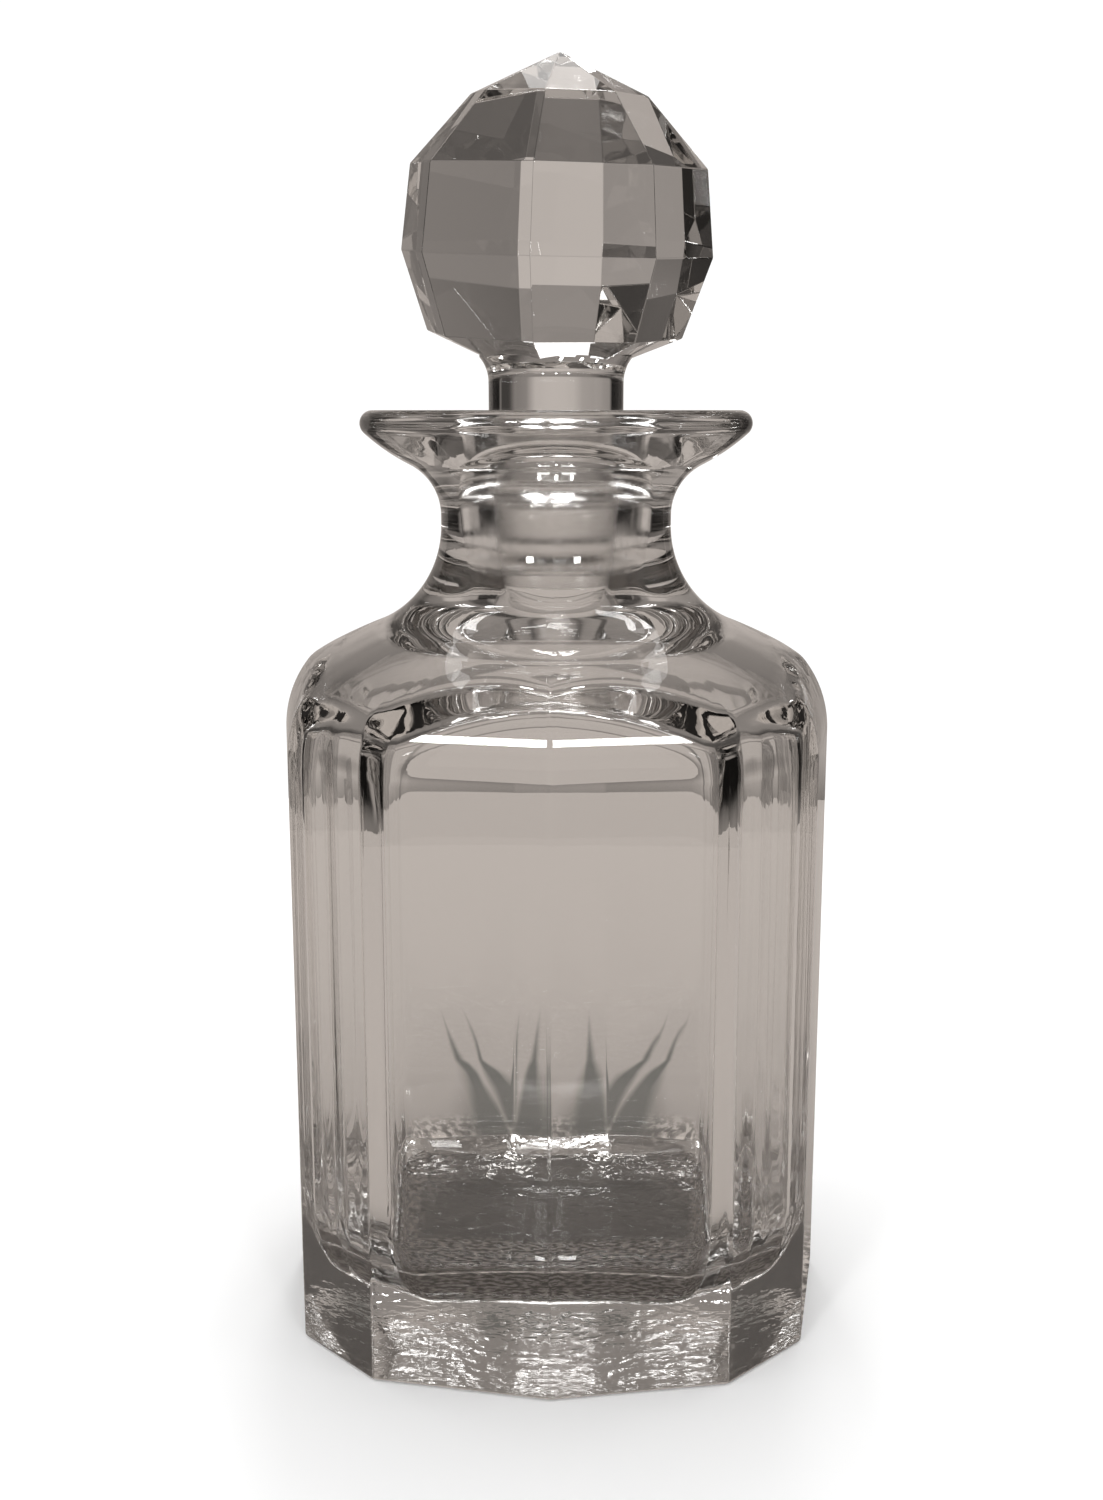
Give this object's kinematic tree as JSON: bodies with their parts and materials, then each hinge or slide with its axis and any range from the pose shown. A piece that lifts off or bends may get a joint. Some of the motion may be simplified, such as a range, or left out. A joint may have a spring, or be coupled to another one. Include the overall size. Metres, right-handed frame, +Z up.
{
  "type": "cut crystal decanter",
  "caption": "Square spirit decanter of thick panel-cut crystal with a round shoulder, flared flat lip and a facet-cut ball stopper ground into the neck.",
  "frame": {"origin": "middle of the flat base", "axes": "+Z up through the neck and the stopper, -Y the front face, +X to the right"},
  "size_m": [0.1, 0.1, 0.2232],
  "materials": {
    "crystal_body": "polished, ground matt inside the neck",
    "crystal_stopper": "polished facets, ground matt plug"
  },
  "bodies": {
    "decanter": {"decanter_body": "crystal_body"},
    "stopper_piece": {"stopper": "crystal_stopper"}
  },
  "joints": [
    {"name": "stopper_lift", "type": "slide", "parent": "decanter", "child": "stopper_piece", "axis": [0, 0, 1], "range_m": [0, 0.06]}
  ]
}
